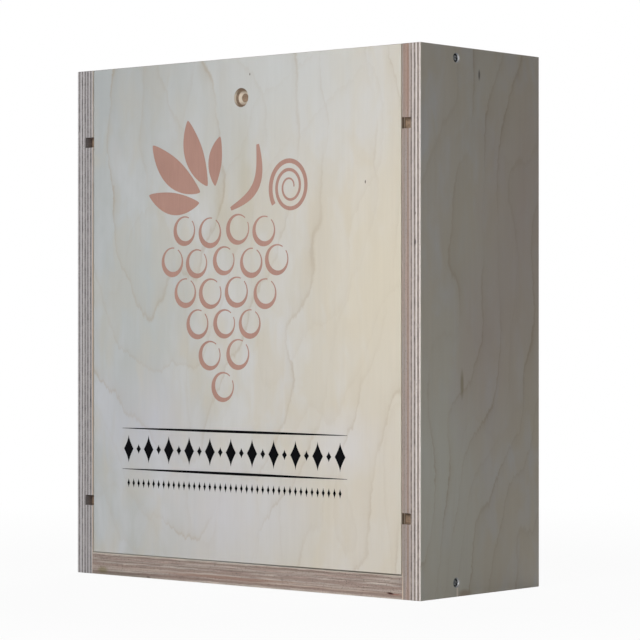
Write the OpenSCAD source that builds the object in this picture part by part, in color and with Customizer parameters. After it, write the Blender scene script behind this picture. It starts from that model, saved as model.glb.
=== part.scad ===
// Wine box of birch plywood for a row of bottles, with a lid that slides out at the top.
// Millimetres. +Z up, the lid faces -Y, the origin is the centre of the base.

/* [Bottles] */
// How many bottles lie side by side
bottle_count = 3; // [1:1:6]
// Distance from one bottle to the next
bottle_pitch = 92; // [88:0.5:100]
// Width of the cradle cut for a bottle's body
body_cut_d = 80; // [74:0.5:84]
// Width of the cradle cut for a bottle's neck
neck_cut_d = 34; // [28:0.5:42]

/* [Box] */
// Overall height, standing on its bottom end
box_h = 350; // [320:1:400]
// Overall depth, from the lid's face to the back
box_d = 126; // [116:1:150]
// Thickness of the two side boards
side_t = 15; // [12:0.5:18]
// Thickness of the top and bottom ends
end_t = 15; // [12:0.5:20]
// Radius to which the boards' edges are eased
edge_ease = 0.5; // [0.2:0.1:1]

/* [Lid] */
// Thickness of the sliding lid
lid_t = 9; // [8.5:0.5:12]
// Thickness of the lip that holds the lid in from the front
lip_t = 4.5; // [3.5:0.1:5.5]
// How deep the lid's grooves run into the side boards
groove_depth = 6.5; // [5:0.5:8]
// How far the lid's face lies behind the boards' front edges
lid_inset = 0.2; // [0:0.1:1]
// Play of the lid's tongues between front and back of their grooves
lid_play = 0.3; // [0.2:0.05:0.6]
// Gap at each side of the lid
lid_side_gap = 0.8; // [0.4:0.1:1.5]
// Gap between the lid and the bottom end that it comes down on
lid_seat_gap = 0.3; // [0.2:0.05:0.8]
// Width of the finger recess
recess_d = 12.7; // [12:0.1:18]
// Depth of the finger recess
recess_depth = 4.8; // [4.5:0.1:5.5]
// Distance of the finger recess from the lid's top edge
recess_drop = 26.5; // [15:0.1:60]
// Distance of the finger recess from the lid's middle, to the right
recess_offset = 1.3; // [-5:0.1:5]

/* [Back] */
// Thickness of the back panel
back_t = 6.5; // [5:0.5:9]
// How far the back panel laps into the side boards
back_lap = 7; // [5:0.5:8]
// Gap at each side of the back panel
back_gap = 0.25; // [0.1:0.05:0.5]

/* [Rests] */
// Thickness of the two rests
rest_t = 6.5; // [5:0.5:9]
// How much wider than the rest its slots are
slot_play = 0.5; // [0.3:0.1:0.8]
// How deep the slots run into the side boards
slot_depth = 7; // [5:0.5:8]
// Gap between a rest's end and the bottom of its slot
rest_end_gap = 0.3; // [0.1:0.05:0.8]
// Distance of the neck slots' middle from the top
neck_drop = 50; // [40:0.5:80]
// Height of the bottle slots' middle above the base
bottle_rise = 51; // [44:0.5:100]
// How far the neck rest stands up from the back panel
neck_rest_h = 66; // [60:1:75]
// How far the bottle rest stands up from the back panel
bottle_rest_h = 50; // [36:1:54]
// Rounding of the cradle cuts' lips
lip_round = 3; // [1:0.5:4]

/* [Screws] */
// Shank diameter
screw_d = 3.5; // [3:0.1:4]
// Head diameter
screw_head_d = 6.3; // [6:0.1:7.5]
// Length
screw_length = 40; // [30:1:50]
// How far the heads are sunk below the boards' faces
screw_sink = 0.3; // [0:0.1:0.8]
// Distance of the screws from the front edges
screw_setback = 36.5; // [25:0.5:60]
// Distance of the upper screws from the top
screw_drop = 7.2; // [6:0.1:9]
// Height of the lower screws above the base
screw_rise = 9; // [6:0.1:9]
// Gap between a screw and its hole
screw_fit = 0.05; // [0.02:0.01:0.1]

/* [Brads] */
// Shank diameter
brad_d = 1.4; // [1.2:0.1:1.8]
// Head diameter
brad_head_d = 2.4; // [2.2:0.1:3]
// Length
brad_length = 20; // [15:1:25]
// How many hold each long edge of the back panel
brads_per_side = 4; // [2:1:6]
// Distance of the first and last of them from the corners
brad_end_inset = 25; // [20:1:32]
// Gap between a brad and its hole
brad_fit = 0.05; // [0.02:0.01:0.1]

/* [Hidden] */

inner_w = bottle_count * bottle_pitch;
box_w = inner_w + 2 * side_t;
front_y = -box_d / 2;
back_y = box_d / 2;
panel_y = back_y - back_t;

// The lid's face lies between the lips, and its tongues run behind them.
lid_y = front_y + lid_inset;
step_t = lip_t + lid_play - lid_inset;
tongue_t = lid_t - step_t;
groove_w = tongue_t + 2 * lid_play;
groove_y = front_y + lip_t;
cavity_y = groove_y + groove_w;
lid_bottom_z = end_t + lid_seat_gap;

// Bottles lie halfway between the lid and the back panel.
bottle_y = (cavity_y + panel_y) / 2;
slot_w = rest_t + slot_play;
neck_slot_z = box_h - neck_drop;
rest_w = inner_w + 2 * (slot_depth - rest_end_gap);

// Head rim, cone and point of a countersunk screw
rim_t = 0.3;
cone_t = (screw_head_d - screw_d) / 2;
point_t = 1.4 * screw_d;

brad_head_t = 0.5;
brad_point_t = 1.5 * brad_d;
brad_pitch = (box_h - 2 * brad_end_inset) / (brads_per_side - 1);

// Tools run this far past the faces they cut.
over = 1;
ease_fn = 24;
round_fn = 64;
cut_fn = 96;

birch = "#d3c8b4";
birch_pale = "#dcd2bf";
birch_core = "#c4b49c";
steel = "#6f7275";

// Rectangle from the origin, with its corners rounded to r
module eased_rect(w, h, r) {
  translate([r, 0]) square([w - 2 * r, h]);
  translate([0, r]) square([w, h - 2 * r]);
  for (x = [r, w - r], y = [r, h - r])
    translate([x, y]) circle(r, $fn = ease_fn);
}

// Board from the origin, with all its edges eased
module board(w, d, h) {
  intersection() {
    linear_extrude(h) eased_rect(w, d, edge_ease);
    translate([0, d, 0]) rotate([90, 0, 0]) linear_extrude(d) eased_rect(w, h, edge_ease);
    rotate([90, 0, 90]) linear_extrude(w) eased_rect(d, h, edge_ease);
  }
}

// Outline of a countersunk screw that points down from z = 0, grown by fit
module screw_shape(fit) {
  rotate_extrude($fn = round_fn)
    polygon([
      [0, 0],
      [screw_head_d / 2 + fit, 0],
      [screw_head_d / 2 + fit, -rim_t],
      [screw_d / 2 + fit, -rim_t - cone_t],
      [screw_d / 2 + fit, -screw_length + point_t],
      [0, -screw_length - fit]
    ]);
}

// Puts its children on the screw's axis: outward is -1 at the left and 1 at the right
module at_screw(outward, z) {
  translate([outward * (box_w / 2 - screw_sink), front_y + screw_setback, z])
    rotate([0, outward * 90, 0]) children();
}

// A screw's hole, with its sink open to the board's face
module screw_hole(outward, z) {
  at_screw(outward, z) {
    screw_shape(screw_fit);
    cylinder(r = screw_head_d / 2 + screw_fit, h = screw_sink + over, $fn = round_fn);
  }
}

function screw_z(upper) = upper ? box_h - screw_drop : screw_rise;

// Brad whose head is flush with z = 0 and which points down, grown by fit
module brad_shape(fit) {
  rotate_extrude($fn = ease_fn)
    polygon([
      [0, 0],
      [brad_head_d / 2 + fit, 0],
      [brad_head_d / 2 + fit, -brad_head_t],
      [brad_d / 2 + fit, -brad_head_t],
      [brad_d / 2 + fit, -brad_length + brad_point_t],
      [0, -brad_length - fit]
    ]);
}

// Where the brads go: up both long edges, and one per bottle along each end
brad_places = concat(
  [for (side = [-1, 1], i = [0 : brads_per_side - 1])
    [side * (inner_w + back_lap) / 2, brad_end_inset + i * brad_pitch]],
  [for (z = [end_t / 2, box_h - end_t / 2], i = [0 : bottle_count - 1])
    [(i - (bottle_count - 1) / 2) * bottle_pitch, z]]
);

module brads(fit) {
  for (place = brad_places)
    translate([place[0], back_y, place[1]]) rotate([-90, 0, 0]) brad_shape(fit);
}

// Slot through a side board's inner half, from its front edge to the back panel
module slot(z) {
  translate([side_t - slot_depth, -over, z - slot_w / 2])
    cube([slot_depth + over, box_d - back_t + over, slot_w]);
}

// Left side board: lid groove, back rebate and two slots on its inner face
module side_board() {
  difference() {
    translate([-box_w / 2, front_y, 0]) difference() {
      board(side_t, box_d, box_h);
      translate([side_t - groove_depth, lip_t, -over])
        cube([groove_depth + over, groove_w, box_h + 2 * over]);
      translate([side_t - back_lap, box_d - back_t, -over])
        cube([back_lap + over, back_t + over, box_h + 2 * over]);
      slot(bottle_rise);
      slot(neck_slot_z);
    }
    for (upper = [false, true]) screw_hole(-1, screw_z(upper));
    brads(brad_fit);
  }
}

module left_side() {
  color(birch) side_board();
}

module right_side() {
  color(birch) mirror([1, 0, 0]) side_board();
}

// End board between the sides, from y0 back to the back panel, eased along its length
module end_board(y0, z0) {
  difference() {
    translate([-inner_w / 2, y0, z0]) rotate([90, 0, 90])
      linear_extrude(inner_w) eased_rect(panel_y - y0, end_t, edge_ease);
    for (outward = [-1, 1], upper = [false, true]) screw_hole(outward, screw_z(upper));
    brads(brad_fit);
  }
}

// Set back so that the lid slides past it
module top_end() {
  color(birch) end_board(cavity_y, box_h - end_t);
}

module bottom_end() {
  color(birch_core) end_board(front_y, 0);
}

module back_panel() {
  panel_w = inner_w + 2 * (back_lap - back_gap);
  color(birch_pale) difference() {
    translate([-panel_w / 2, panel_y, 0]) board(panel_w, back_t, box_h);
    brads(brad_fit);
  }
}

// Section of the lid: a face between the lips, and a thinner tongue behind them
module lid_section() {
  face_w = inner_w - 2 * lid_side_gap;
  tongue_w = inner_w + 2 * (groove_depth - lid_side_gap);
  translate([-face_w / 2, 0]) eased_rect(face_w, lid_t, edge_ease);
  translate([-tongue_w / 2, step_t]) eased_rect(tongue_w, tongue_t, edge_ease);
}

module sliding_lid() {
  lid_h = box_h - lid_bottom_z;
  recess_r = (recess_d * recess_d / 4 + recess_depth * recess_depth) / (2 * recess_depth);
  color(birch_pale) difference() {
    translate([0, lid_y, lid_bottom_z]) intersection() {
      linear_extrude(lid_h) lid_section();
      translate([-box_w / 2, 0, 0]) rotate([90, 0, 90])
        linear_extrude(box_w) eased_rect(lid_t, lid_h, edge_ease);
    }
    translate([recess_offset, lid_y - recess_r + recess_depth, box_h - recess_drop])
      sphere(recess_r, $fn = round_fn);
  }
}

// Cradle cut in a rest's section, open towards -Y at y = mouth_y. An arc about the bottle's
// axis is carried on by straight walls, and the corners at its mouth are rounded.
module cradle_cut(cut_d, mouth_y) {
  r = cut_d / 2;
  corner_x = sqrt(r * r - pow(max(mouth_y - bottle_y, 0), 2));
  translate([0, bottle_y]) circle(r, $fn = cut_fn);
  if (mouth_y < bottle_y)
    translate([-r, mouth_y]) square([cut_d, bottle_y - mouth_y]);
  translate([-corner_x, mouth_y - over]) square([2 * corner_x, over + edge_ease / 2]);
  for (side = [0, 1])
    mirror([side, 0]) cradle_lip(r, corner_x, mouth_y);
}

// Rounds the corner between the mouth's edge and the arc or wall of a cradle cut
module cradle_lip(r, corner_x, mouth_y) {
  lip_r = min(lip_round, (bottle_pitch - 2 * r) / 2 - edge_ease);
  lip_y = mouth_y + lip_r;
  above_axis = max(lip_y - bottle_y, 0);
  lip_x = sqrt(pow(r + lip_r, 2) - pow(above_axis, 2));
  // Where the rounding touches the arc, or the wall in front of it
  share = r / (r + lip_r);
  touch = above_axis > 0 ? [lip_x * share, bottle_y + above_axis * share] : [r, lip_y];
  difference() {
    polygon([
      [lip_x, lip_y],
      [lip_x, mouth_y - over],
      [corner_x - lip_r, mouth_y - over],
      [corner_x - lip_r, mouth_y],
      touch
    ]);
    translate([lip_x, lip_y]) circle(lip_r, $fn = round_fn);
  }
}

// Rest with a row of cradle cuts, lying on the lower faces of its slots
module rest(slot_z, rest_h, cut_d) {
  mouth_y = panel_y - rest_h;
  translate([0, 0, slot_z - slot_w / 2]) linear_extrude(rest_t) difference() {
    translate([-rest_w / 2, mouth_y]) eased_rect(rest_w, rest_h, edge_ease);
    for (i = [0 : bottle_count - 1])
      translate([(i - (bottle_count - 1) / 2) * bottle_pitch, 0]) cradle_cut(cut_d, mouth_y);
  }
}

module neck_rest() {
  color(birch_core) rest(neck_slot_z, neck_rest_h, neck_cut_d);
}

module bottle_rest() {
  color(birch_core) rest(bottle_rise, bottle_rest_h, body_cut_d);
}

module screw(outward, upper) {
  color(steel) at_screw(outward, screw_z(upper)) screw_shape(0);
}

module screw_top_left() screw(-1, true);
module screw_top_right() screw(1, true);
module screw_bottom_left() screw(-1, false);
module screw_bottom_right() screw(1, false);

module back_brads() {
  color(steel) brads(0);
}

left_side();
right_side();
top_end();
bottom_end();
back_panel();
sliding_lid();
neck_rest();
bottle_rest();
screw_top_left();
screw_top_right();
screw_bottom_left();
screw_bottom_right();
back_brads();
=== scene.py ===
import bpy
import numpy as np
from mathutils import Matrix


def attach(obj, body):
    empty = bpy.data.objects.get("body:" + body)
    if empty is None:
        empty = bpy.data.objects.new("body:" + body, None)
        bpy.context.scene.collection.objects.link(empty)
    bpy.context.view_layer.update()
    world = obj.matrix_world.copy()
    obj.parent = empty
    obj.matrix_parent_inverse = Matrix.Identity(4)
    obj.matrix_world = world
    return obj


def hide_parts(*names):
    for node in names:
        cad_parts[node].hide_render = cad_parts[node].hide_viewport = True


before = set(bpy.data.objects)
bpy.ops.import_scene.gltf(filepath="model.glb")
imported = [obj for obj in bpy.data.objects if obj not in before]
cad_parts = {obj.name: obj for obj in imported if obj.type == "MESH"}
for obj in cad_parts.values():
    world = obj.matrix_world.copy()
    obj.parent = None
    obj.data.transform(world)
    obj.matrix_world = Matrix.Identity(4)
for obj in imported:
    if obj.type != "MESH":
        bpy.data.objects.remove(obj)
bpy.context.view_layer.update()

toMillimetres = 1000.0
print("frame loaded:", len(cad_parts), "nodes")


def linearColour(hexCode):
    # sRGB hex to the linear RGBA that shaders work in
    parts = [int(hexCode[i:i + 2], 16) / 255 for i in (1, 3, 5)]
    return [c / 12.92 if c <= 0.04045 else ((c + 0.055) / 1.055) ** 2.4 for c in parts] + [1.0]


def addNode(tree, kind, settings=None, links=None):
    # settings are properties or socket values by name; links are nodes, sockets or values,
    # by input name, or in order over the sockets that are in use
    node = tree.nodes.new("ShaderNode" + kind)
    for name, value in (settings or {}).items():
        if name == "curve":
            points = node.mapping.curves[0].points
            while len(points) < len(value):
                points.new(0.5, 0.5)
            for point, place in zip(points, value):
                point.location = place
                point.handle_type = "AUTO_CLAMPED"
            node.mapping.update()
        elif name in node.inputs.keys():
            node.inputs[name].default_value = value
        else:
            setattr(node, name, value)
    used = [socket for socket in node.inputs if socket.enabled]
    pairs = links.items() if isinstance(links, dict) else enumerate(links or [])
    for key, source in pairs:
        socket = used[key] if isinstance(key, int) else node.inputs[key]
        if isinstance(source, bpy.types.Node):
            source = next(out for out in source.outputs if out.enabled)
        if isinstance(source, bpy.types.NodeSocket):
            tree.links.new(source, socket)
        else:
            socket.default_value = source
    return node


def newMaterial(name):
    material = bpy.data.materials.new(name)
    material.use_nodes = True
    material.node_tree.nodes.clear()
    return material, material.node_tree


# Birch plywood, rotary-cut and sanded, left bare: pale satin faces with wandering growth lines,
# and edges striped by plies that show their end grain and their long grain by turns.
birch = {
    "veneerCool": "#BEC2C2",
    "veneerWarm": "#D9D2C4",
    "cloudPale": "#DBDCE0",
    "cloudTan": "#D5CAB6",
    "growthLine": "#A8916E",
    "fleck": "#4A3B2E",
    "glueLine": "#6F5F54",
    "fibreAcross": 0.8,       # mm, drawn coarser than the real 0.1 mm so that it shows
    "fibreAlong": 26.0,       # mm
    "roughness": 0.66,
    "endRoughness": 0.82,
    "specular": 0.22,
    "bumpStrength": 0.2,
    "bumpHeight": 0.00005,    # m
    # Patterns in waves per mm: 0.022 is a cloud every 45 mm. A row of three is across the grain,
    # along it, and 1 for the seed.
    "glueStray": {"Scale": 0.03, "Detail": 3.0, "Roughness": 0.6},
    "cloud": {"Scale": 0.022, "Detail": 3.0, "Roughness": 0.55},
    "otherCloud": {"Scale": 0.03, "Detail": 2.5},
    "mottle": {"Scale": 0.07, "Detail": 4.0, "Distortion": 0.6},
    "rag": {"Scale": 0.14, "Detail": 3.0, "Roughness": 0.65},
    "endShade": {"Scale": 0.16, "Detail": 4.0, "Roughness": 0.7},
    "speck": 1.4,
    "ringField": (0.011, 0.0045, 1.0),
    "edgeStreak": (2.0, 0.06, 1.0),
    "edgeDrift": (0.2, 0.4, 1.0),       # of the edge streaks
    "cloudStretch": (1.0, 0.45, 1.0),   # of the clouds' own waves
    "teeth": (0.22, 0.6, 1.0),          # in waves per fibre, as is the next
    "broadFibre": (0.25, 0.4, 1.0),
    "yearsComeAndGo": (3.7, 0.016, 1.0),     # per year, and per mm along the grain
    "toothLength": 13.0,      # mm that the teeth pull a growth line along the grain
    "ragWidth": 5.0,          # mm that it wanders across the grain
    "ringSharpness": 2.4,
    "cloudDrift": 110.0,      # mm that the placed clouds are pulled out of shape
    "sheetPart": 0.6,         # of the outer ply, as deep as its sanded face counts
    "twiceEdgeTone": 2.02,    # the darkest and the palest streak on an edge add up to this
    "bandFade": 0.5,          # mm
}
plySeedStep = 17.3            # not whole, so that no two plies are alike
justInside = 0.001            # plies, keeps the outer faces in the outer plies


# How dark a growth line is across its width: a sharp rise, a thin core, a long fade
lineProfile = [(0.0, 0.0), (0.07, 0.45), (0.12, 1.0), (0.18, 0.8), (0.27, 0.4), (0.5, 0.2), (1.0, 0.0)]
lineWidth = 10.8              # mm, from the start of that profile to its end
yearSeedStep = 7.31           # not whole, so that no two years are alike


def growthLines(tree, across, along, seed, grain):
    # A rotary cutter meets each year's ring as a long loop. Its line is a contour of the distance
    # from the loops' middle, with lengths along the grain divided by how stretched the loops are:
    # distance = length of (across - lean x along, along / stretch) + slow noise.
    # A line starts at each whole number of spacings and fades outwards, or inwards where the grain
    # says so. Each year has its own strength, and comes and goes along the grain.
    middleAcross, middleAlong = grain["middle"]
    lengthways = addNode(tree, "Math", {"operation": "SUBTRACT"}, [along, middleAlong])
    sideways = addNode(tree, "Math", {"operation": "SUBTRACT"}, [across, middleAcross])
    sideways = addNode(tree, "Math", {"operation": "MULTIPLY_ADD"}, [lengthways, -grain["lean"], sideways])
    lengthways = addNode(tree, "Math", {"operation": "DIVIDE"}, [lengthways, grain["stretch"]])
    distance = addNode(tree, "CombineXYZ", None, [sideways, lengthways, 0.0])
    distance = addNode(tree, "VectorMath", {"operation": "LENGTH"}, [distance]).outputs["Value"]
    waveAt = addNode(tree, "CombineXYZ", None, [across, along, seed])
    waveAcross, waveAlong = grain["wave"]
    waveAt = addNode(tree, "VectorMath", {"operation": "DIVIDE"}, [waveAt, (waveAcross, waveAlong, 1.0)])
    wave = addNode(tree, "TexNoise", {"Scale": 1.0, "Detail": 2.0, "Roughness": 0.4}, {"Vector": waveAt})
    distance = addNode(tree, "Math", {"operation": "MULTIPLY_ADD"}, [wave, grain["wander"], distance])
    years = addNode(tree, "Math", {"operation": "DIVIDE"}, [distance, grain["spacing"]])
    year = addNode(tree, "Math", {"operation": "FLOOR"}, [years])
    past = addNode(tree, "Math", {"operation": "FRACT"}, [years])
    if grain.get("fadesInwards"):
        past = addNode(tree, "Math", {"operation": "SUBTRACT"}, [1.0, past])
    reach = addNode(tree, "MapRange", {"From Max": lineWidth / grain["spacing"]}, {"Value": past})
    body = addNode(tree, "FloatCurve", {"curve": lineProfile}, {"Value": reach})
    own = addNode(tree, "Math", {"operation": "MULTIPLY_ADD"}, [year, yearSeedStep, seed])
    own = addNode(tree, "TexWhiteNoise", {"noise_dimensions": "1D"}, {"W": own}).outputs["Value"]
    faint, strong = grain["strength"]
    own = addNode(tree, "MapRange", {"To Min": faint, "To Max": strong}, {"Value": own})
    comesAt = addNode(tree, "CombineXYZ", None, [year, along, seed])
    comesAt = addNode(tree, "VectorMath", {"operation": "MULTIPLY"}, [comesAt, birch["yearsComeAndGo"]])
    comes = addNode(tree, "TexNoise", {"Scale": 1.0, "Detail": 1.0}, {"Vector": comesAt})
    comes = addNode(tree, "MapRange", {"From Min": 0.34, "From Max": 0.58, "To Min": 0.15}, {"Value": comes})
    own = addNode(tree, "Math", {"operation": "MULTIPLY"}, [own, comes])
    return addNode(tree, "Math", {"operation": "MULTIPLY"}, [body, own])


def spot(tree, across, along, mark):
    # An oval: its strength inside its core, 0 from its rim on
    alongShare = addNode(tree, "Math", {"operation": "MULTIPLY_ADD"},
                         [along, 1 / mark["tall"], -mark["along"] / mark["tall"]])
    acrossShare = addNode(tree, "Math", {"operation": "MULTIPLY_ADD"},
                          [across, 1 / mark["wide"], -mark["across"] / mark["wide"]])
    reach = addNode(tree, "CombineXYZ", None, [acrossShare, alongShare, 0.0])
    reach = addNode(tree, "VectorMath", {"operation": "LENGTH"}, [reach]).outputs["Value"]
    return addNode(tree, "MapRange", {"From Min": 1.0, "From Max": mark.get("core", 0.4),
                                      "To Max": mark.get("strength", 1.0)}, {"Value": reach})


def plywood(name, board):
    # A solid texture: depth into the board picks the ply, and each ply is wood whose grain
    # runs along or across the board, so every cut through it shows what the real one would.
    # Lengths inside it are millimetres.
    material, tree = newMaterial(name)
    coords = addNode(tree, "TexCoord")
    scaled = addNode(tree, "VectorMath", {"operation": "SCALE", "Scale": toMillimetres},
                     {"Vector": coords.outputs["Object"]})
    place = addNode(tree, "SeparateXYZ", None, [scaled]).outputs
    facing = addNode(tree, "VectorMath", {"operation": "ABSOLUTE"}, [coords.outputs["Normal"]])
    facing = addNode(tree, "SeparateXYZ", None, [facing]).outputs
    depthAxis, alongAxis, acrossAxis = ("XYZ".index(axis) for axis in board["axes"])
    depth = addNode(tree, "Math", {"operation": "MULTIPLY_ADD"},
                    [place[depthAxis], board["into"], -board["into"] * board["faceAt"]])
    along = place[alongAxis]
    across = place[acrossAxis]
    seed = board["seed"]

    # Which ply: glue lines stray a little, so the edge's stripes aren't ruled
    flat = addNode(tree, "CombineXYZ", None, [across, along, seed])
    stray = addNode(tree, "TexNoise", birch["glueStray"], {"Vector": flat})
    stray = addNode(tree, "Math", {"operation": "SUBTRACT"}, [stray, 0.5])
    plyPitch = board["thickness"] / board["plies"]
    strayDepth = addNode(tree, "Math", {"operation": "MULTIPLY_ADD"}, [stray, board["plyWander"], depth])
    level = addNode(tree, "Math", {"operation": "DIVIDE"}, [strayDepth, plyPitch])
    level = addNode(tree, "Math", {"operation": "MAXIMUM"}, [level, justInside])
    level = addNode(tree, "Math", {"operation": "MINIMUM"}, [level, board["plies"] - justInside])
    ply = addNode(tree, "Math", {"operation": "FLOOR"}, [level])
    within = addNode(tree, "Math", {"operation": "FRACT"}, [level])
    isCross = addNode(tree, "Math", {"operation": "MODULO"}, [ply, 2.0])

    # Grain coordinates of this ply
    grainAlong = addNode(tree, "Mix", {"data_type": "FLOAT"}, [isCross, along, across])
    grainAcross = addNode(tree, "Mix", {"data_type": "FLOAT"}, [isCross, across, along])
    plySeed = addNode(tree, "Math", {"operation": "MULTIPLY_ADD"}, [ply, plySeedStep, seed])

    # How much a surface looks at the ply's end grain, and how much at the board's face
    endFacing = addNode(tree, "Mix", {"data_type": "FLOAT"},
                        [isCross, facing[alongAxis], facing[acrossAxis]])
    endShare = addNode(tree, "MapRange", {"From Min": 0.35, "From Max": 0.8}, {"Value": endFacing})
    facesOut = addNode(tree, "MapRange", {"From Min": 0.4, "From Max": 0.8},
                       {"Value": facing[depthAxis]})

    # Only the two outer plies are sanded sheets. A cutter that lays an inner ply open tears it
    # where it runs across the board, which leaves that ply as brown as its end grain.
    core = addNode(tree, "Math", {"operation": "COMPARE"},
                   [depth, board["thickness"] / 2, board["thickness"] / 2 - birch["sheetPart"] * plyPitch])
    sheet = addNode(tree, "Math", {"operation": "SUBTRACT"}, [1.0, core])
    faceShare = addNode(tree, "Math", {"operation": "MULTIPLY"}, [facesOut, sheet])
    torn = addNode(tree, "Math", {"operation": "MULTIPLY"}, [core, isCross])
    endShare = addNode(tree, "Math", {"operation": "MAXIMUM"}, [endShare, torn])

    # Fine fibre, long along the grain, and the teeth that it gives to growth lines
    fibreSpot = addNode(tree, "Math", {"operation": "MULTIPLY"}, [grainAcross, 1 / birch["fibreAcross"]])
    fibreRun = addNode(tree, "Math", {"operation": "MULTIPLY"}, [grainAlong, 1 / birch["fibreAlong"]])
    fibreAt = addNode(tree, "CombineXYZ", None, [fibreSpot, fibreRun, plySeed])
    fibre = addNode(tree, "TexNoise", {"Scale": 1.0, "Detail": 3.0, "Roughness": 0.65}, {"Vector": fibreAt})
    teethAt = addNode(tree, "VectorMath", {"operation": "MULTIPLY"}, [fibreAt, birch["teeth"]])
    teeth = addNode(tree, "TexNoise", {"Scale": 1.0, "Detail": 4.0, "Roughness": 0.6}, {"Vector": teethAt})
    teeth = addNode(tree, "Math", {"operation": "SUBTRACT"}, [teeth, 0.5])

    # Broad clouds of tone, longer along the grain than across it. Each later noise is read a few
    # hundred mm away from the first, so that it isn't the same one.
    cloudAt = addNode(tree, "CombineXYZ", None, [grainAcross, grainAlong, plySeed])
    cloudAt = addNode(tree, "VectorMath", {"operation": "MULTIPLY"}, [cloudAt, birch["cloudStretch"]])
    cloud = addNode(tree, "TexNoise", birch["cloud"], {"Vector": cloudAt})
    otherAt = addNode(tree, "VectorMath", {"operation": "ADD"}, [cloudAt, (310.0, 90.0, 0.0)])
    otherCloud = addNode(tree, "TexNoise", birch["otherCloud"], {"Vector": otherAt})

    # Growth lines: faint contours of a smooth field, and the strong loops of a board that has them
    ragAt = addNode(tree, "CombineXYZ", None, [grainAcross, grainAlong, plySeed])
    rag = addNode(tree, "TexNoise", birch["rag"], {"Vector": ragAt})
    rag = addNode(tree, "Math", {"operation": "SUBTRACT"}, [rag, 0.5])
    shiftedAlong = addNode(tree, "Math", {"operation": "MULTIPLY_ADD"},
                           [teeth, birch["toothLength"], grainAlong])
    shiftedAcross = addNode(tree, "Math", {"operation": "MULTIPLY_ADD"},
                            [rag, birch["ragWidth"], grainAcross])
    fieldAt = addNode(tree, "CombineXYZ", None, [shiftedAcross, shiftedAlong, plySeed])
    fieldAt = addNode(tree, "VectorMath", {"operation": "MULTIPLY"}, [fieldAt, birch["ringField"]])
    field = addNode(tree, "TexNoise", {"Scale": 1.0, "Detail": 1.5, "Roughness": 0.4}, {"Vector": fieldAt})
    rings = addNode(tree, "Math", {"operation": "MULTIPLY"}, [field, board["rings"]])
    phase = addNode(tree, "Math", {"operation": "FRACT"}, [rings])
    rise = addNode(tree, "MapRange", {"From Min": 0.78, "From Max": 0.98}, {"Value": phase})
    drop = addNode(tree, "MapRange", {"From Min": 1.0, "From Max": 0.98}, {"Value": phase})
    ringLine = addNode(tree, "Math", {"operation": "MULTIPLY"}, [rise, drop])
    ringLine = addNode(tree, "Math", {"operation": "POWER"}, [ringLine, birch["ringSharpness"]])
    lines = addNode(tree, "Math", {"operation": "MULTIPLY"}, [ringLine, board["ringStrength"]])
    if "grain" in board:
        years = growthLines(tree, shiftedAcross, shiftedAlong, seed, board["grain"])
        lines = addNode(tree, "Math", {"operation": "MAXIMUM"}, [lines, years])
    # The placed clouds' own measure across the board, which the broad clouds pull out of shape
    drifted = addNode(tree, "Math", {"operation": "MULTIPLY_ADD"}, [cloud, birch["cloudDrift"], across])
    drifted = addNode(tree, "Math", {"operation": "SUBTRACT"}, [drifted, birch["cloudDrift"] / 2])
    # Growth lines are weaker in patches
    patchy = addNode(tree, "MapRange", {"From Min": 0.35, "From Max": 0.6, "To Min": 0.55},
                     {"Value": otherCloud})
    lines = addNode(tree, "Math", {"operation": "MULTIPLY"}, [lines, patchy])

    # Face colour: a cool and a warm side to the sheet, with pale and tan clouds over them
    fromCool, fromWarm = board.get("coolToWarm", (-400.0, 60.0))
    warm = addNode(tree, "MapRange", {"From Min": fromCool, "From Max": fromWarm}, {"Value": across})
    colour = addNode(tree, "Mix", {"data_type": "RGBA"},
                     [warm, linearColour(birch["veneerCool"]), linearColour(birch["veneerWarm"])])
    mottleAt = addNode(tree, "VectorMath", {"operation": "ADD"}, [cloudAt, (50.0, 410.0, 0.0)])
    mottle = addNode(tree, "TexNoise", birch["mottle"], {"Vector": mottleAt})
    pale = addNode(tree, "Mix", {"data_type": "FLOAT"}, [0.4, cloud, mottle])
    pale = addNode(tree, "MapRange", {"From Min": 0.47, "From Max": 0.64, "To Max": board.get("pale", 0.4)},
                   {"Value": pale})
    colour = addNode(tree, "Mix", {"data_type": "RGBA"}, [pale, colour, linearColour(birch["cloudPale"])])
    tan = addNode(tree, "Mix", {"data_type": "FLOAT"}, [0.45, otherCloud, mottle])
    tan = addNode(tree, "MapRange", {"From Min": 0.54, "From Max": 0.42, "To Max": board.get("tan", 0.35)},
                  {"Value": tan})
    colour = addNode(tree, "Mix", {"data_type": "RGBA"}, [tan, colour, linearColour(birch["cloudTan"])])
    for mark in board.get("clouds", []):
        share = spot(tree, drifted, along, mark)
        colour = addNode(tree, "Mix", {"data_type": "RGBA"}, [share, colour, linearColour(mark["tone"])])
    colour = addNode(tree, "Mix", {"data_type": "RGBA"}, [lines, colour, linearColour(birch["growthLine"])])
    for mark in board.get("marks", []):
        share = spot(tree, across, along, mark)
        tone = linearColour(mark.get("tone", birch["fleck"]))
        colour = addNode(tree, "Mix", {"data_type": "RGBA"}, [share, colour, tone])
    broadAt = addNode(tree, "VectorMath", {"operation": "MULTIPLY"}, [fibreAt, birch["broadFibre"]])
    broadFibre = addNode(tree, "TexNoise", {"Scale": 1.0, "Detail": 3.0, "Roughness": 0.6},
                         {"Vector": broadAt})
    streak = addNode(tree, "MapRange", {"From Min": 0.3, "From Max": 0.7, "To Min": 0.99, "To Max": 1.008},
                     {"Value": fibre})
    broadStreak = addNode(tree, "MapRange",
                          {"From Min": 0.3, "From Max": 0.7, "To Min": 0.988, "To Max": 1.012},
                          {"Value": broadFibre})
    streak = addNode(tree, "Math", {"operation": "MULTIPLY"}, [streak, broadStreak])
    faceColour = addNode(tree, "VectorMath", {"operation": "SCALE"}, {"Vector": colour, "Scale": streak})

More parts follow.
